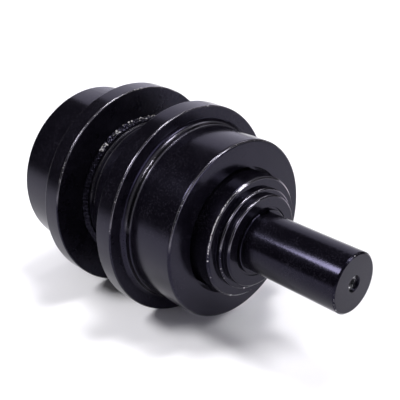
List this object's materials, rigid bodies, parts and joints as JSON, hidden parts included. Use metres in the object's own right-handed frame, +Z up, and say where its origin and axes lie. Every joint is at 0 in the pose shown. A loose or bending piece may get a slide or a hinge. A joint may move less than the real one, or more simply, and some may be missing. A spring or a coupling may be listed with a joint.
{
  "type": "track roller",
  "caption": "Cantilevered track roller: two welded shell halves with guide flanges turn on a shaft that sticks out of one end.",
  "frame": {"origin": "middle of the roller: on the shaft's axis, midway between the two guide flanges", "axes": "+Y along the shaft towards the covered left-hand end, so the shaft sticks out along -Y; +Z up, +X forwards; the roller turns about Y"},
  "size_m": [0.1306, 0.2175, 0.1306],
  "materials": {
    "black_paint": "gloss black enamel over forged steel, chipped to bare metal on a few edges",
    "weld_paint": "gloss black enamel, thin and broken over a rough weld run",
    "seal_iron": "hard cast iron with lapped faces",
    "bush_bronze": "turned bronze",
    "ring_rubber": "matt nitrile rubber",
    "pin_steel": "ground steel"
  },
  "bodies": {
    "fixed_shaft": {"shaft": "black_paint", "oil_plug": "pin_steel", "collar": "black_paint", "collar_o_ring": "ring_rubber", "collar_snap_ring": "black_paint", "collar_pin": "pin_steel", "thrust_plate": "pin_steel", "plate_screws": "pin_steel", "seal_ring_fixed": "seal_iron", "toric_fixed": "ring_rubber"},
    "roller": {"roller_shell_left": "black_paint", "roller_shell_right": "black_paint", "weld_bead": "weld_paint", "bush_left": "bush_bronze", "bush_right": "bush_bronze", "seal_ring_running": "seal_iron", "toric_running": "ring_rubber", "end_cover": "black_paint", "cover_o_ring": "ring_rubber", "cover_snap_ring": "black_paint"}
  },
  "joints": [
    {"name": "roller_spin", "type": "hinge", "parent": "fixed_shaft", "child": "roller", "pos_m": [0, 0, 0], "axis": [0, 1, 0], "continuous": true}
  ]
}
